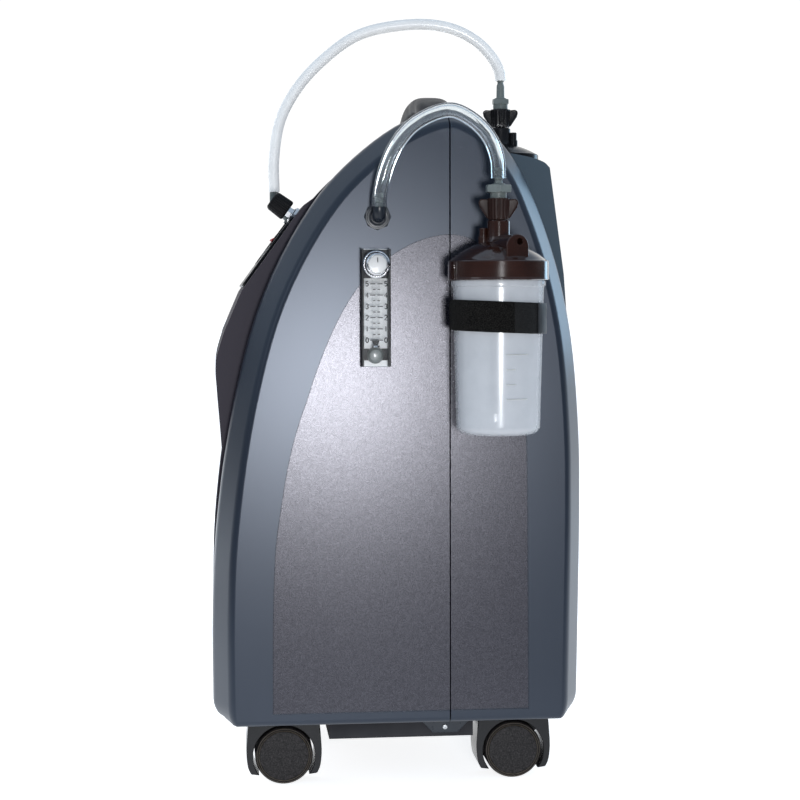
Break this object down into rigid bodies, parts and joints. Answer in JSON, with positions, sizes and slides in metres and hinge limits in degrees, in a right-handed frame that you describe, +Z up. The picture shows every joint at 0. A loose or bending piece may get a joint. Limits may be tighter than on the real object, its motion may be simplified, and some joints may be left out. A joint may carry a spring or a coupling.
{
  "type": "oxygen concentrator",
  "caption": "Tall arch-sided oxygen concentrator on casters, with hoses to a humidifier bottle in its back and one strapped to its side by a panel flowmeter.",
  "frame": {"origin": "on the floor under the middle of the whole object's box, hoses left out; the case's own middle plane is at X = -0.0425", "axes": "+Z up, -Y the front with the control slope, +X the side with the flowmeter and the strapped bottle"},
  "size_m": [0.405, 0.3179, 0.6745],
  "materials": {
    "casing": "metallic slate-blue moulding, glossy, with a fine-textured arch on each side",
    "base": "dark moulded tray",
    "handle": "satin charcoal grip",
    "grille": "fine-textured dark grille",
    "panel": "black, slightly glossy slab",
    "display": "dark display window",
    "switch_red": "red rocker",
    "button": "pale buttons",
    "chrome": "bright chrome",
    "knob_black": "ribbed black grip",
    "fitting": "grey-green hose fitting",
    "fitting_dark": "dark elbow and octagonal nut",
    "clear": "clear acrylic block",
    "scale": "white backing plate",
    "float": "black float",
    "hose": "clear flexible tube",
    "lid_brown": "dark brown, glossy",
    "lid_black": "black, glossy",
    "jar": "milky translucent jar",
    "tube": "milky dip tube and diffuser",
    "strap": "black hook-and-loop band",
    "caster": "black moulded hood",
    "wheel": "dark nylon wheel with a textured face",
    "steel": "plain steel pin",
    "black_plastic": "black moulding",
    "metal": "plain aluminium",
    "board": "circuit board",
    "foam": "open-cell foam pad"
  },
  "bodies": {
    "casing": {"base_tray": "base", "front_shell": "casing", "rear_shell": "casing", "carry_handle": "handle", "vent_grille": "grille", "control_panel": "panel", "display_window": "display", "valve_flange": "chrome", "front_outlet": "fitting", "flowmeter_body": "clear", "flowmeter_scale": "scale", "side_outlet": "fitting_dark", "side_hose": "hose", "side_lid": "lid_brown", "side_dip_tube": "tube", "side_nipple": "fitting", "bottle_strap": "strap", "rear_lid": "lid_black", "rear_dip_tube": "tube", "rear_nipple": "fitting", "rear_hose": "hose", "power_inlet": "black_plastic", "chassis": "metal", "compressor": "metal", "fan_housing": "black_plastic", "sieve_bed_left": "metal", "sieve_bed_right": "metal", "oxygen_tank": "metal", "valve_manifold": "metal", "control_board": "board", "intake_filter": "foam"},
    "filter_door": {"filter_door": "grille"},
    "power_switch": {"power_switch": "switch_red"},
    "plus_button": {"plus_button": "button"},
    "minus_button": {"minus_button": "button"},
    "valve_knob": {"valve_knob": "knob_black"},
    "flowmeter_knob": {"flowmeter_knob": "chrome"},
    "flowmeter_float": {"flowmeter_float": "float"},
    "side_wing_nut": {"side_wing_nut": "lid_brown"},
    "rear_wing_nut": {"rear_wing_nut": "lid_black"},
    "side_jar": {"side_jar": "jar"},
    "rear_jar": {"rear_jar": "jar"},
    "breaker_button": {"breaker_button": "black_plastic"},
    "fan_rotor": {"fan_rotor": "black_plastic"},
    "front_left_caster": {"front_left_hood": "caster", "front_left_axle": "steel"},
    "front_left_wheel_outer": {"front_left_wheel_outer": "wheel"},
    "front_left_wheel_inner": {"front_left_wheel_inner": "wheel"},
    "front_right_caster": {"front_right_hood": "caster", "front_right_axle": "steel"},
    "front_right_wheel_outer": {"front_right_wheel_outer": "wheel"},
    "front_right_wheel_inner": {"front_right_wheel_inner": "wheel"},
    "rear_left_caster": {"rear_left_hood": "caster", "rear_left_axle": "steel"},
    "rear_left_wheel_outer": {"rear_left_wheel_outer": "wheel"},
    "rear_left_wheel_inner": {"rear_left_wheel_inner": "wheel"},
    "rear_right_caster": {"rear_right_hood": "caster", "rear_right_axle": "steel"},
    "rear_right_wheel_outer": {"rear_right_wheel_outer": "wheel"},
    "rear_right_wheel_inner": {"rear_right_wheel_inner": "wheel"}
  },
  "joints": [
    {"name": "front_left_swivel", "type": "hinge", "parent": "casing", "child": "front_left_caster", "pos_m": [0.0625, -0.118, 0.06], "axis": [0, 0, 1], "continuous": true},
    {"name": "front_left_outer_spin", "type": "hinge", "parent": "front_left_caster", "child": "front_left_wheel_outer", "pos_m": [0.0625, -0.1, 0.025], "axis": [1, 0, 0], "continuous": true},
    {"name": "front_left_inner_spin", "type": "hinge", "parent": "front_left_caster", "child": "front_left_wheel_inner", "pos_m": [0.0625, -0.1, 0.025], "axis": [1, 0, 0], "continuous": true},
    {"name": "front_right_swivel", "type": "hinge", "parent": "casing", "child": "front_right_caster", "pos_m": [-0.1475, -0.118, 0.06], "axis": [0, 0, 1], "continuous": true},
    {"name": "front_right_outer_spin", "type": "hinge", "parent": "front_right_caster", "child": "front_right_wheel_outer", "pos_m": [-0.1475, -0.1, 0.025], "axis": [1, 0, 0], "continuous": true},
    {"name": "front_right_inner_spin", "type": "hinge", "parent": "front_right_caster", "child": "front_right_wheel_inner", "pos_m": [-0.1475, -0.1, 0.025], "axis": [1, 0, 0], "continuous": true},
    {"name": "rear_left_swivel", "type": "hinge", "parent": "casing", "child": "rear_left_caster", "pos_m": [0.0625, 0.118, 0.06], "axis": [0, 0, 1], "continuous": true},
    {"name": "rear_left_outer_spin", "type": "hinge", "parent": "rear_left_caster", "child": "rear_left_wheel_outer", "pos_m": [0.0625, 0.1, 0.025], "axis": [1, 0, 0], "continuous": true},
    {"name": "rear_left_inner_spin", "type": "hinge", "parent": "rear_left_caster", "child": "rear_left_wheel_inner", "pos_m": [0.0625, 0.1, 0.025], "axis": [1, 0, 0], "continuous": true},
    {"name": "rear_right_swivel", "type": "hinge", "parent": "casing", "child": "rear_right_caster", "pos_m": [-0.1475, 0.118, 0.06], "axis": [0, 0, 1], "continuous": true},
    {"name": "rear_right_outer_spin", "type": "hinge", "parent": "rear_right_caster", "child": "rear_right_wheel_outer", "pos_m": [-0.1475, 0.1, 0.025], "axis": [1, 0, 0], "continuous": true},
    {"name": "rear_right_inner_spin", "type": "hinge", "parent": "rear_right_caster", "child": "rear_right_wheel_inner", "pos_m": [-0.1475, 0.1, 0.025], "axis": [1, 0, 0], "continuous": true},
    {"name": "fan_spin", "type": "hinge", "parent": "casing", "child": "fan_rotor", "pos_m": [-0.0425, -0.05, 0.28], "axis": [0, 0, 1], "continuous": true},
    {"name": "valve_turn", "type": "hinge", "parent": "casing", "child": "valve_knob", "pos_m": [0.0075, -0.08511, 0.49215], "axis": [0, -0.807, 0.5906], "range_deg": [0, 1260]},
    {"name": "flowmeter_knob_turn", "type": "hinge", "parent": "casing", "child": "flowmeter_knob", "pos_m": [0.1335, -0.0234, 0.4475], "axis": [1, 0, 0], "range_deg": [0, 1260]},
    {"name": "float_rise", "type": "slide", "parent": "casing", "child": "flowmeter_float", "axis": [0, 0, 1], "range_m": [0, 0.0464]},
    {"name": "power_switch_rock", "type": "hinge", "parent": "casing", "child": "power_switch", "pos_m": [0.0175, -0.09907, 0.47511], "axis": [1, 0, 0], "range_deg": [0, 14]},
    {"name": "plus_press", "type": "slide", "parent": "casing", "child": "plus_button", "axis": [0, 0.807, -0.5906], "range_m": [0, 0.0006], "stiffness_N_per_m": 400},
    {"name": "minus_press", "type": "slide", "parent": "casing", "child": "minus_button", "axis": [0, 0.807, -0.5906], "range_m": [0, 0.0006], "stiffness_N_per_m": 400},
    {"name": "side_wing_nut_turn", "type": "hinge", "parent": "casing", "child": "side_wing_nut", "pos_m": [0.1615, 0.074, 0.49], "axis": [0, 0, 1], "continuous": true},
    {"name": "rear_wing_nut_turn", "type": "hinge", "parent": "casing", "child": "rear_wing_nut", "pos_m": [-0.0425, 0.1075, 0.584], "axis": [0, 0, 1], "continuous": true},
    {"name": "side_jar_unscrew", "type": "hinge", "parent": "casing", "child": "side_jar", "pos_m": [0.1615, 0.074, 0.38], "axis": [0, 0, 1], "range_deg": [0, 450]},
    {"name": "rear_jar_unscrew", "type": "hinge", "parent": "casing", "child": "rear_jar", "pos_m": [-0.0425, 0.1075, 0.48], "axis": [0, 0, 1], "range_deg": [0, 450]},
    {"name": "filter_door_pull", "type": "slide", "parent": "casing", "child": "filter_door", "axis": [0, 1, 0], "range_m": [0, 0.02]},
    {"name": "breaker_trip", "type": "slide", "parent": "casing", "child": "breaker_button", "axis": [0, 1, 0], "range_m": [0, 0.0035]}
  ]
}
